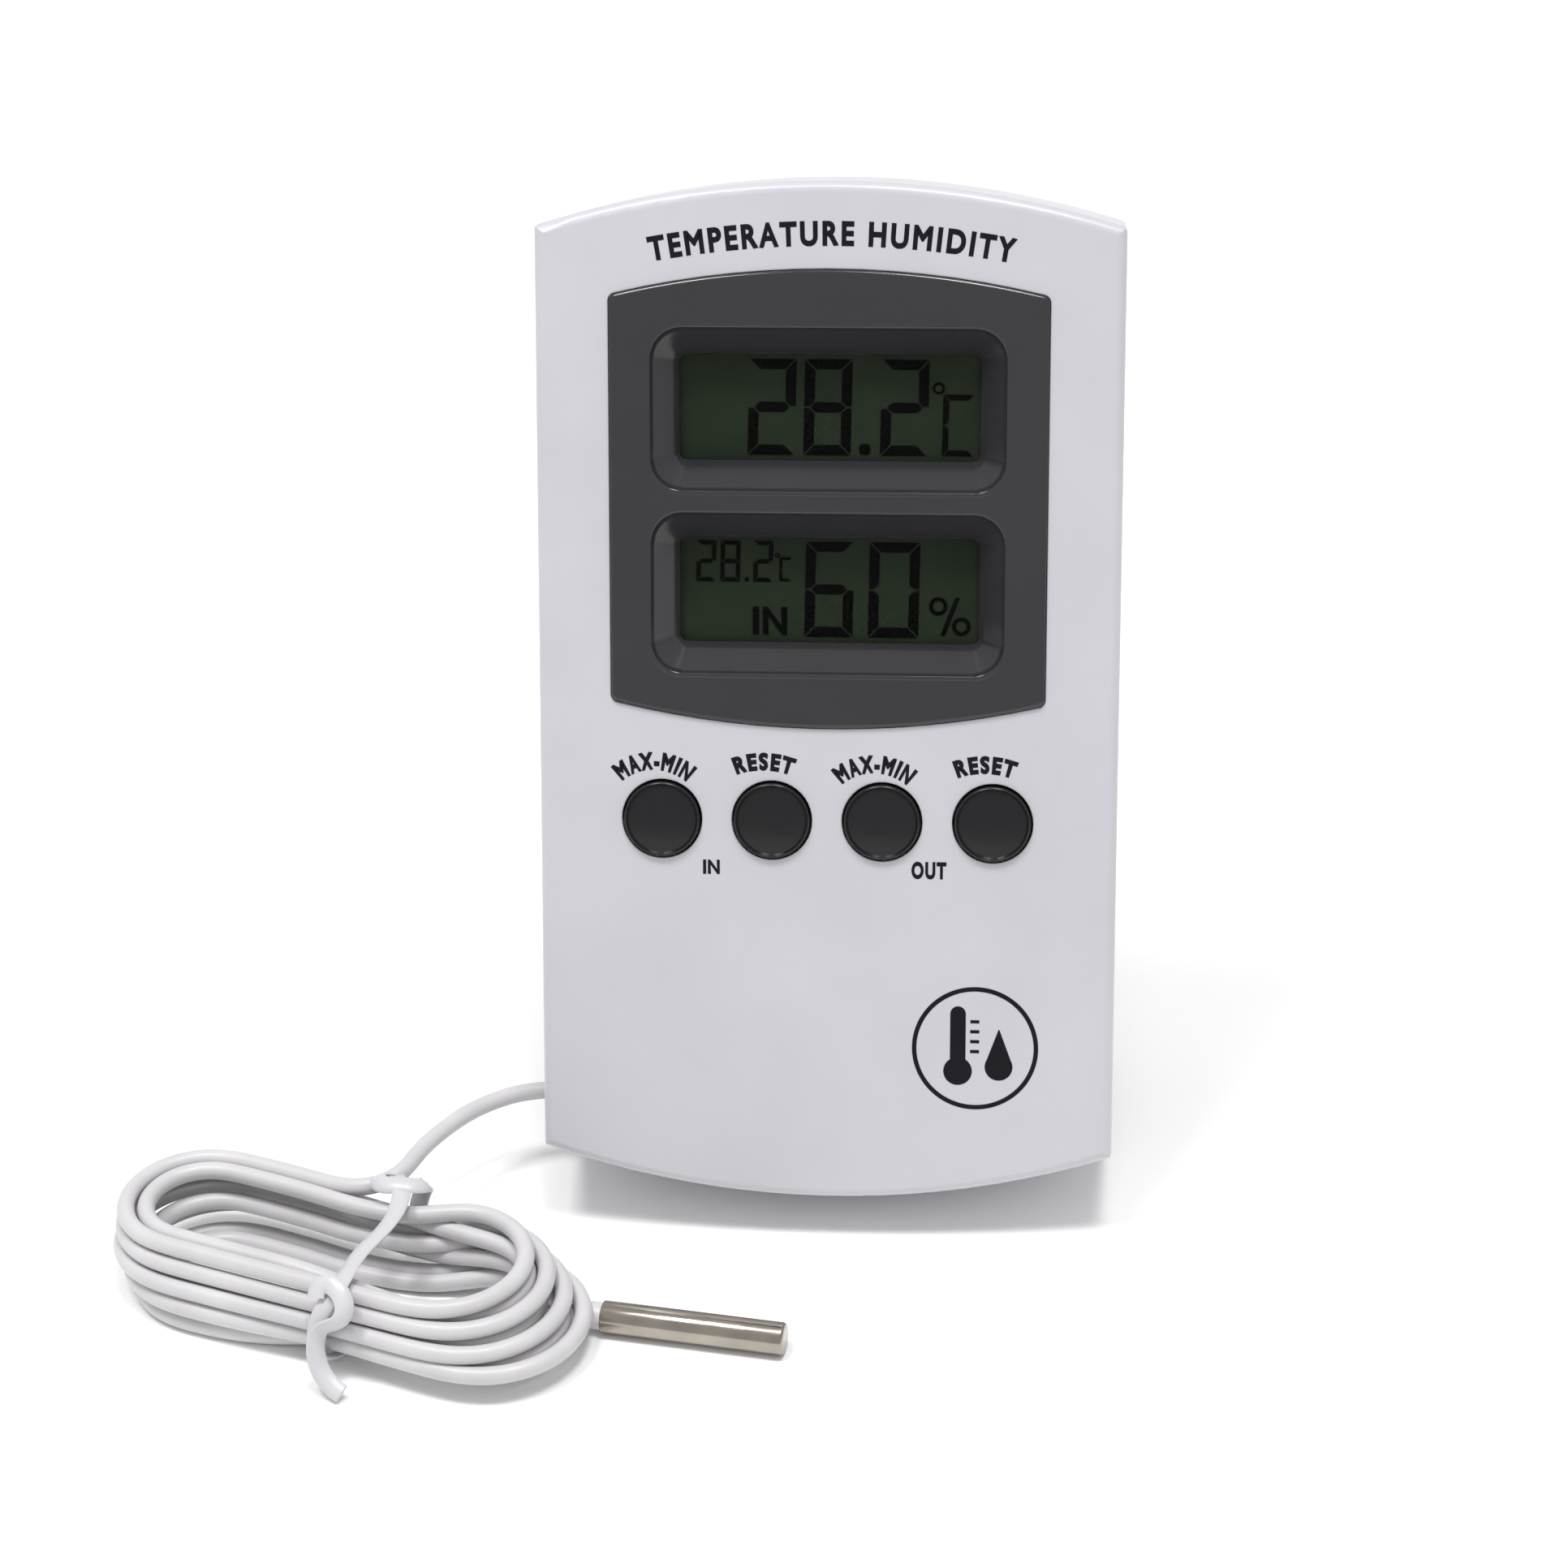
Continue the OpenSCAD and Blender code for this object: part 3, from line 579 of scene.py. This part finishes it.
TIE_FOLD = [
    (2.4, -11.3, 10.8), (2.2, -10.6, 11.7), (3.2, -9.9, 12.5), (5.2, -10.4, 12.2), (6.5, -11.3, 10.8),
    (6.3, -12.3, 9.3), (5.0, -12.7, 8.6), (3.6, -12.9, 8.0), (3.1, -13.5, 6.4), (3.4, -14.2, 4.4),
    (4.4, -14.8, 2.6), (6.0, -15.3, 1.5), (7.3, -15.5, 1.2),
]
HANK_CORE = on_hank(2.5, -0.5, 5.5)


def turning(start, end):
    """A twist that grows evenly along a strip, in radians."""
    return lambda f: start + (end - start) * f


def make_tie():
    """Strip over the hank, its bow at the back, its fold at the front and its free tail."""
    section = strip_section(TIE_W, TIE_T)
    parts = []
    for points, twist, core in (
        (TIE_OVER, turning(0.6, 0.0), HANK_CORE),
        (TIE_BOW, turning(0.2, -0.9), None),
        (TIE_FOLD, turning(0.0, -1.1), HANK_CORE),
    ):
        path = b_spline([on_hank(*p) for p in points], 5)
        parts.append(sweep(path, section, HANK_ALONG, twist, core))
    tie = joined("cord_tie", parts, materials["tie"])
    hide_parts("twist_tie")
    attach(tie, "case")
    return tidy_normals(tie, 60)


cord, cord_route = make_cord()
probe = make_probe()
tie = make_tie()

# ---------- flat work on the face ----------


def weighted(obj):
    """Broad faces keep their own direction, so only the rounded edges between them curve."""
    tidy_normals(obj, 50)
    obj.modifiers.new("weighted_normals", "WEIGHTED_NORMAL").keep_sharp = True
    return obj


class Shell:
    """A closed solid built from outlines on the face: walls between them, and flat fills."""

    def __init__(self):
        self.mesh = bmesh.new()

    def ring(self, outline, out):
        return [self.mesh.verts.new(on_face(x, z, out)) for x, z in outline]

    def wall(self, rings):
        for low, high in zip(rings, rings[1:]):
            for k in range(len(low)):
                n = (k + 1) % len(low)
                self.mesh.faces.new((low[k], low[n], high[n], high[k]))

    def fill(self, *rings):
        edges = []
        for ring in rings:
            for k in range(len(ring)):
                pair = (ring[k], ring[(k + 1) % len(ring)])
                edges.append(self.mesh.edges.get(pair) or self.mesh.edges.new(pair))
        bmesh.ops.triangle_fill(self.mesh, use_beauty=True, use_dissolve=False, edges=edges)

    def finish(self, name, material):
        bmesh.ops.recalc_face_normals(self.mesh, faces=self.mesh.faces)
        data = bpy.data.meshes.new(name)
        self.mesh.to_mesh(data)
        self.mesh.free()
        data.materials.append(material)
        for polygon in data.polygons:
            polygon.use_smooth = True
        obj = bpy.data.objects.new(name, data)
        scene.collection.objects.link(obj)
        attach(obj, "case")
        return obj


def rounded_rect(z, half_w, half_h, r, steps=10):
    outline = []
    for quarter, (sx, sz) in enumerate(((1, 1), (-1, 1), (-1, -1), (1, -1))):
        centre = (sx * (half_w - r), z + sz * (half_h - r))
        outline += arc(centre, r, 90 * quarter, 90 * quarter + 90, steps)
    return outline


def arched_outline(half_w, low, high, rise, r, inset=0.0):
    """Outline with bowed top and bottom edges, upright sides and small round corners."""
    full_bow = (half_w**2 + rise**2) / (2 * rise)
    bow, corner = full_bow - inset, r - inset
    x = half_w - inset - corner
    reach = sqrt((bow - corner) ** 2 - x**2)
    turn = degrees(acos(x / (bow - corner)))
    top, bottom = high - full_bow, low + full_bow
    outline = arc((x, top + reach), corner, 0, turn, 6)
    outline += arc((0, top), bow, turn, 180 - turn, 40)[1:-1]
    outline += arc((-x, top + reach), corner, 180 - turn, 180, 6)
    outline += arc((-x, bottom - reach), corner, 180, 180 + turn, 6)
    outline += arc((0, bottom), bow, 180 + turn, 360 - turn, 40)[1:-1]
    outline += arc((x, bottom - reach), corner, 360 - turn, 360, 6)
    return outline


# ---------- display bezel ----------

BEZEL_HALF_W = 26.1
BEZEL_LOW = 58.9
BEZEL_HIGH = 113.7
BEZEL_RISE = 3.1
BEZEL_OUT = 0.5
BEZEL_SEAT = -1.0
BEZEL_CORNER = 0.9
DISPLAY_Z = {"upper": 97.2, "lower": 75.2}
# half width, half height and corner radius of a well's brim and of the opening at its foot
WELL = (21.1, 9.6, 3.7)
OPENING = (18.0, 6.35, 0.9)
OPENING_OUT = -3.2
SLOPE_STEPS = 8
BLOCK_BACK = -6.2
BLOCK_HALF_W = 22.8
BLOCK_PAST_DISPLAY = 10.7
POCKET_HALF_W = 20
POCKET_HALF_H = 8.1
SQUARE_CORNER = 0.2


def well_rings(shell, z):
    """A raised, rounded brim, the sloping sides and the small round at the opening's edge."""
    brim = [(1.22, 0.0), (1.17, 0.045), (1.11, 0.07), (1.05, 0.035), (1.015, -0.09), (1.0, -0.28)]
    steps = [(share, BEZEL_OUT + depth) for share, depth in brim]
    slope_top = steps[-1][1]
    slope_foot = OPENING_OUT + 0.3
    for i in range(1, SLOPE_STEPS):
        f = i / SLOPE_STEPS
        steps.append((1 - f, slope_top + (slope_foot - slope_top) * f))
    steps += [(0.015, OPENING_OUT + 0.26), (0.0, OPENING_OUT + 0.15), (0.0, OPENING_OUT)]
    rings = []
    for share, out in steps:
        sizes = [inner + (outer - inner) * share for outer, inner in zip(WELL, OPENING)]
        rings.append(shell.ring(rounded_rect(z, *sizes), out))
    shell.wall(rings)
    return rings[0], rings[-1]


def rim_rings(shell):
    """Rounded front edge and side of the bezel, from the face down to its seat."""
    edge = [(0.55, -0.02), (0.32, -0.07), (0.15, -0.16), (0.04, -0.28), (0.0, -0.42)]
    edge = [(inset, BEZEL_OUT + depth) for inset, depth in edge] + [(0.0, BEZEL_SEAT)]
    rings = []
    for inset, out in edge:
        outline = arched_outline(BEZEL_HALF_W, BEZEL_LOW, BEZEL_HIGH, BEZEL_RISE, BEZEL_CORNER, inset)
        rings.append(shell.ring(outline, out))
    shell.wall(rings)
    return rings[0], rings[-1]


def make_bezel():
    shell = Shell()
    rim_front, rim_back = rim_rings(shell)
    block_low = DISPLAY_Z["lower"] - BLOCK_PAST_DISPLAY
    block_high = DISPLAY_Z["upper"] + BLOCK_PAST_DISPLAY
    block_half_h = (block_high - block_low) / 2
    block = rounded_rect((block_low + block_high) / 2, BLOCK_HALF_W, block_half_h, SQUARE_CORNER, 1)
    block_rings = [shell.ring(block, BEZEL_SEAT), shell.ring(block, BLOCK_BACK)]
    shell.wall(block_rings)
    brims, pockets = [], []
    for z in DISPLAY_Z.values():
        brim, opening = well_rings(shell, z)
        brims.append(brim)
        pocket = rounded_rect(z, POCKET_HALF_W, POCKET_HALF_H, SQUARE_CORNER, 1)
        pocket_rings = [shell.ring(pocket, OPENING_OUT), shell.ring(pocket, BLOCK_BACK)]
        shell.wall(pocket_rings)
        shell.fill(opening, pocket_rings[0])
        pockets.append(pocket_rings[1])
    shell.fill(rim_front, *brims)
    shell.fill(rim_back, block_rings[0])
    shell.fill(block_rings[1], *pockets)
    bezel = shell.finish("display_surround", materials["bezel"])
    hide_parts("display_bezel")
    return weighted(bezel)


def plate(name, z, half_w, half_h, front, back, material):
    """Flat sheet behind the face with finely rounded edges."""
    edge, corner = 0.08, 0.4
    shell = Shell()
    rings = []
    for inset, out in ((edge, front), (0.3 * edge, front - 0.3 * edge), (0, front - edge),
                       (0, back + edge), (0.3 * edge, back + 0.3 * edge), (edge, back)):
        outline = rounded_rect(z, half_w - inset, half_h - inset, corner - inset, 4)
        rings.append(shell.ring(outline, out))
    shell.wall(rings)
    shell.fill(rings[0])
    shell.fill(rings[-1])
    return weighted(shell.finish(name, material))


# half width, half height, front and back of the sheets in each pocket
PANE = (19.9, 8.0, -3.25, -3.9)
CELL = (19.7, 7.9, -4.05, -5.95)


def make_displays():
    for side, z in DISPLAY_Z.items():
        pane = plate(side + "_clear_pane", z, *PANE, materials["pane"])
        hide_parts(side + "_window_lens")
        cell = plate(side + "_liquid_crystal_cell", z, *CELL, materials["lcd"])
        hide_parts(side + "_lcd")


make_bezel()
make_displays()

# ---------- readings and printing ----------

SEGMENTS = {"0": "abcdef", "2": "abged", "6": "acdefg", "8": "abcdefg", "C": "adef"}
READING_OUT = -4.04
INK_OUT = 0
PRINT_T = 0.03
SLANT = 0.02


def prism(shell, outline, out):
    """Thin printed shape with its back at out."""
    rings = [shell.ring(outline, out), shell.ring(outline, out + PRINT_T)]
    shell.wall(rings)
    shell.mesh.faces.new(rings[0])
    shell.mesh.faces.new(rings[1])


def figure(shell, letter, x, z, width, height, stroke):
    """Seven-segment figure with mitred bars; x and z are its lower left corner."""
    w, h, t, g = width, height, stroke, stroke * 0.09
    middle = h / 2
    upright = [
        (0, h - g), (t, h - t - g), (t, middle + t / 2 + g), (t / 2, middle + g), (0, middle + g),
    ]
    bars = {
        "a": [(g, h), (w - g, h), (w - t - g, h - t), (t + g, h - t)],
        "g": [(t / 2 + g, middle), (t + g, middle + t / 2), (w - t - g, middle + t / 2),
              (w - t / 2 - g, middle), (w - t - g, middle - t / 2), (t + g, middle - t / 2)],
        "f": upright,
        "b": [(w - a, b) for a, b in upright],
        "e": [(a, h - b) for a, b in upright],
        "c": [(w - a, h - b) for a, b in upright],
    }
    bars["d"] = [(a, h - b) for a, b in bars["a"]]
    for name in SEGMENTS[letter]:
        prism(shell, [(x + a + SLANT * b, z + b) for a, b in bars[name]], READING_OUT)


def circle_band(shell, x, z, outer, inner, out, steps=40):
    """Thin printed ring."""
    outer_line = arc((x, z), outer, 0, 360, steps)[:-1]
    inner_line = arc((x, z), inner, 0, 360, steps)[:-1]
    top = out + PRINT_T
    corners = ((outer_line, out), (outer_line, top), (inner_line, top), (inner_line, out))
    rings = [shell.ring(line, level) for line, level in corners]
    shell.wall(rings + rings[:1])


def thicken(letters, weight):
    """Moves the outlines of flat letters outwards, with short mitres."""
    push = {}
    for edge in letters.edges:
        if len(edge.link_faces) != 1:
            continue
        a, b = edge.verts
        side = Vector((b.co.y - a.co.y, a.co.x - b.co.x, 0)).normalized()
        if side.dot(edge.link_faces[0].calc_center_median() - a.co) > 0:
            side = -side
        for vertex in (a, b):
            push[vertex] = push.get(vertex, Vector()) + side
    for vertex, total in push.items():
        mitre = 2 / max(total.length_squared, 0.01)
        longest = 1.4 / max(total.length, 0.1)
        vertex.co += total * weight * min(mitre, longest)


def words(shell, text, height, length, place, out, weight, gap=1.1):
    """Plain words as thin solids, their strokes thickened by weight; place turns (along, up) in
    millimetres into (x, z)."""
    curve = bpy.data.curves.new("words", "FONT")
    curve.body = text
    curve.align_x = "CENTER"
    curve.space_character = gap
    curve.resolution_u = 5
    holder = bpy.data.objects.new("words", curve)
    scene.collection.objects.link(holder)
    depsgraph = bpy.context.evaluated_depsgraph_get()
    flat = bpy.data.meshes.new_from_object(holder.evaluated_get(depsgraph))
    bpy.data.objects.remove(holder)
    low = Vector((min(v.co.x for v in flat.vertices), min(v.co.y for v in flat.vertices)))
    high = Vector((max(v.co.x for v in flat.vertices), max(v.co.y for v in flat.vertices)))
    size = high - low
    letters = bmesh.new()
    letters.from_mesh(flat)
    bpy.data.meshes.remove(flat)
    bmesh.ops.remove_doubles(letters, verts=letters.verts, dist=1e-5)
    thicken(letters, weight)
    spots = {}
    for vertex in letters.verts:
        along = ((vertex.co.x - low.x) / size.x - 0.5) * length
        up = ((vertex.co.y - low.y) / size.y - 0.5) * height
        x, z = place(along, up)
        levels = (out, out + PRINT_T)
        spots[vertex] = [shell.mesh.verts.new(on_face(x, z, level)) for level in levels]
    for face in letters.faces:
        shell.mesh.faces.new([spots[v][0] for v in face.verts])
        shell.mesh.faces.new([spots[v][1] for v in reversed(face.verts)])
    for edge in letters.edges:
        if len(edge.link_faces) == 1:
            a, b = edge.verts
            shell.mesh.faces.new((spots[a][0], spots[b][0], spots[b][1], spots[a][1]))
    letters.free()


def straight(x, z):
    return lambda along, up: (x + along, z + up)


def arched(x, z, radius):
    """Words bent round a circle whose top is at (x, z)."""
    def place(along, up):
        angle = along / radius
        return x + (radius + up) * sin(angle), z - radius + (radius + up) * cos(angle)
    return place


def finish_print(shell, name, material):
    piece = shell.finish(name, material)
    for polygon in piece.data.polygons:
        polygon.use_smooth = False
    return piece


def shifted(outline, x):
    return [(a + x, b) for a, b in outline]


def point(shell, x, z, size):
    """Decimal point: a small square with cut corners."""
    prism(shell, shifted(rounded_rect(z, size / 2, size / 2, size * 0.35, 2), x), READING_OUT)


UPPER_FIGURE_Z = 91.4
UPPER_FIGURE = (5.7, 11.5, 1.25)
SMALL_FIGURE_Z = 76
SMALL_FIGURE_H = 5.05
SMALL_STROKE = 0.58
LOWER_FIGURE_Z = 69.4


def make_upper_reading():
    shell = Shell()
    for letter, x in (("2", -9.95), ("8", -3.25), ("2", 5.95)):
        figure(shell, letter, x, UPPER_FIGURE_Z, *UPPER_FIGURE)
    point(shell, 4.15, 92.15, 1.4)
    circle_band(shell, 12.96, 99.5, 0.75, 0.42, READING_OUT)
    figure(shell, "C", 13.35, UPPER_FIGURE_Z, 3.8, 7.4, 0.75)
    finish_print(shell, "upper_reading", materials["segment"])


def make_percent_sign(shell):
    circle_band(shell, 13.1, 73.3, 1.15, 0.62, READING_OUT)
    circle_band(shell, 15.9, 70.85, 1.15, 0.62, READING_OUT)
    prism(shell, [(13.35, 69.7), (13.95, 69.7), (15.75, 74.4), (15.15, 74.4)], READING_OUT)


def make_lower_reading():
    shell = Shell()
    for letter, x, width in (("2", -16.2, 2.4), ("8", -13.3, 2.45), ("2", -9.3, 2.4)):
        figure(shell, letter, x, SMALL_FIGURE_Z, width, SMALL_FIGURE_H, SMALL_STROKE)
    figure(shell, "C", -6.15, 76.1, 1.6, 3.0, 0.42)
    figure(shell, "6", -3.1, LOWER_FIGURE_Z, 5.85, 11.6, 1.25)
    figure(shell, "0", 4.6, LOWER_FIGURE_Z, 6.1, 11.6, 1.25)
    point(shell, -10.05, 76.35, 0.6)
    circle_band(shell, -6.35, 79.3, 0.32, 0.14, READING_OUT, 16)
    words(shell, "IN", 3.0, 3.8, straight(-7.25, 71.3), READING_OUT, weight=0.05)
    make_percent_sign(shell)
    finish_print(shell, "lower_reading", materials["segment"])


BUTTON_PITCH = 13.36
BUTTON_Z = 47.5
LABEL_SHIFT = -0.95
INPUT_LABEL_Z = 41.6


def make_headline():
    shell = Shell()
    arch = arched(0.3, 117.9, 120)
    words(shell, "TEMPERATURE HUMIDITY", 2.65, 43.2, arch, INK_OUT, weight=0.042, gap=1.25)
    finish_print(shell, "headline_print", materials["ink"])


def make_labels():
    shell = Shell()
    for i in range(4):
        x = (i - 1.5) * BUTTON_PITCH + LABEL_SHIFT
        if i % 2 == 0:
            arch = arched(x, BUTTON_Z + 7.1, 7.1)
            words(shell, "MAX-MIN", 1.9, 9.7, arch, INK_OUT, weight=0.065, gap=1.3)
        else:
            arch = arched(x, BUTTON_Z + 7.2, 10.5)
            words(shell, "RESET", 1.9, 7.2, arch, INK_OUT, weight=0.06, gap=1.3)
    words(shell, "IN", 1.55, 1.85, straight(-14.05, INPUT_LABEL_Z), INK_OUT, weight=0.05)
    words(shell, "OUT", 1.9, 4.05, straight(12.4, INPUT_LABEL_Z), INK_OUT, weight=0.05, gap=1.2)
    finish_print(shell, "label_print", materials["ink"])


PICTOGRAM_X = 18.2
PICTOGRAM_Z = 19.5


def make_pictogram():
    """Thermometer and drop in a round frame."""
    shell = Shell()
    x, z = PICTOGRAM_X, PICTOGRAM_Z
    circle_band(shell, x, z, 7.7, 7.15, INK_OUT, 96)
    bulb, stem, half = 1.75, 5.2, 0.95
    shoulder = degrees(acos(half / bulb))
    outline = arc((x - 2.1, z - 2.9), bulb, 180 - shoulder, 360 + shoulder, 28)
    outline += arc((x - 2.1, z - 2.9 + stem + 2), half, 0, 180, 14)
    prism(shell, outline, INK_OUT)
    for i in range(4):
        low = z - 0.6 + 1.25 * i
        mark = [(x - 0.6, low), (x + 0.5, low), (x + 0.5, low + 0.4), (x - 0.6, low + 0.4)]
        prism(shell, mark, INK_OUT)
    drop = arc((x + 2.9, z - 2.3), 1.7, 150, 390, 28)
    drop += [(x + 2.95, z + 2.4), (x + 2.85, z + 2.4)]
    prism(shell, drop, INK_OUT)
    finish_print(shell, "pictogram_print", materials["ink"])


make_upper_reading()
make_lower_reading()
make_headline()
make_labels()
make_pictogram()

# ---------- buttons ----------

BUTTONS = [
    ("indoor_max_min_button", "indoor_max_min_key"), ("indoor_reset_button", "indoor_reset_key"),
    ("outdoor_max_min_button", "outdoor_max_min_key"), ("outdoor_reset_button", "outdoor_reset_key"),
]


CAP_R = 4.6
CAP_RIM = 0.35
DOME_RISE = 0.45
DOME_OUT = 0.22
STEM_PROFILE = [(0, -5.6), (1.8, -5.6), (2.0, -5.4), (2.0, -2.75)]
FLANGE_PROFILE = [(5.4, -2.75), (5.6, -2.6), (5.6, -2.1), (5.45, -1.95)]


def make_button(place, node, body):
    """Cap with a soft rim and a low dome, its flange and its stem, turned about one axis."""
    dome_r = (CAP_R**2 + DOME_RISE**2) / (2 * DOME_RISE)
    profile = STEM_PROFILE + FLANGE_PROFILE + [(CAP_R, -1.95), (CAP_R, 0.2)]
    profile += arc((CAP_R - CAP_RIM, 0.32), CAP_RIM, 0, 72, 7)
    for r in (4.1, 3.6, 3.0, 2.2, 1.2, 0):
        profile.append((r, DOME_OUT + sqrt(dome_r**2 - r**2) - dome_r + DOME_RISE))
    origin = on_face((place - 1.5) * BUTTON_PITCH, BUTTON_Z)
    scaled = [(r * MM, along * MM) for r, along in profile]
    name = node.replace("_button", "_cap")
    cap = joined(name, [lathe(scaled, origin, -BACK, 96)], materials["button"])
    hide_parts(node)
    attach(cap, body)
    tidy_normals(cap, 50)


for place, (node, body) in enumerate(BUTTONS):
    make_button(place, node, body)

# ---------- lights, floor ----------


WORLD_STRENGTH = 0.64
LIGHT_AIM = (0, 0, 0.04)
LIGHT_SIZE = 0.36
LIGHT_POWER = 10
LIGHTS = {"left_softbox": (-0.44, -0.2, 1.5), "right_softbox": (0.18, -0.2, 1.5)}
FLOOR_HALF = 3


def add_light(name, place):
    data = bpy.data.lights.new(name, "AREA")
    data.size = LIGHT_SIZE
    data.energy = LIGHT_POWER
    light = bpy.data.objects.new(name, data)
    light.location = place
    light.rotation_euler = (Vector(LIGHT_AIM) - Vector(place)).to_track_quat("-Z", "Y").to_euler()
    scene.collection.objects.link(light)


def add_floor():
    size = FLOOR_HALF
    corners = [(-size, -size, 0), (size, -size, 0), (size, size, 0), (-size, size, 0)]
    material = plastic("pale_floor", (0.96, 0.96, 0.96), 0.7, clouds=0.004)
    new_object("floor", corners, [(0, 1, 2, 3)], material)


def add_studio():
    world = bpy.data.worlds.new("studio")
    world.use_nodes = True
    background = world.node_tree.nodes["Background"]
    background.inputs["Color"].default_value = (1, 1, 1, 1)
    background.inputs["Strength"].default_value = WORLD_STRENGTH
    scene.world = world
    scene.view_settings.view_transform = "Standard"
    for name, place in LIGHTS.items():
        add_light(name, place)
    add_floor()


add_studio()
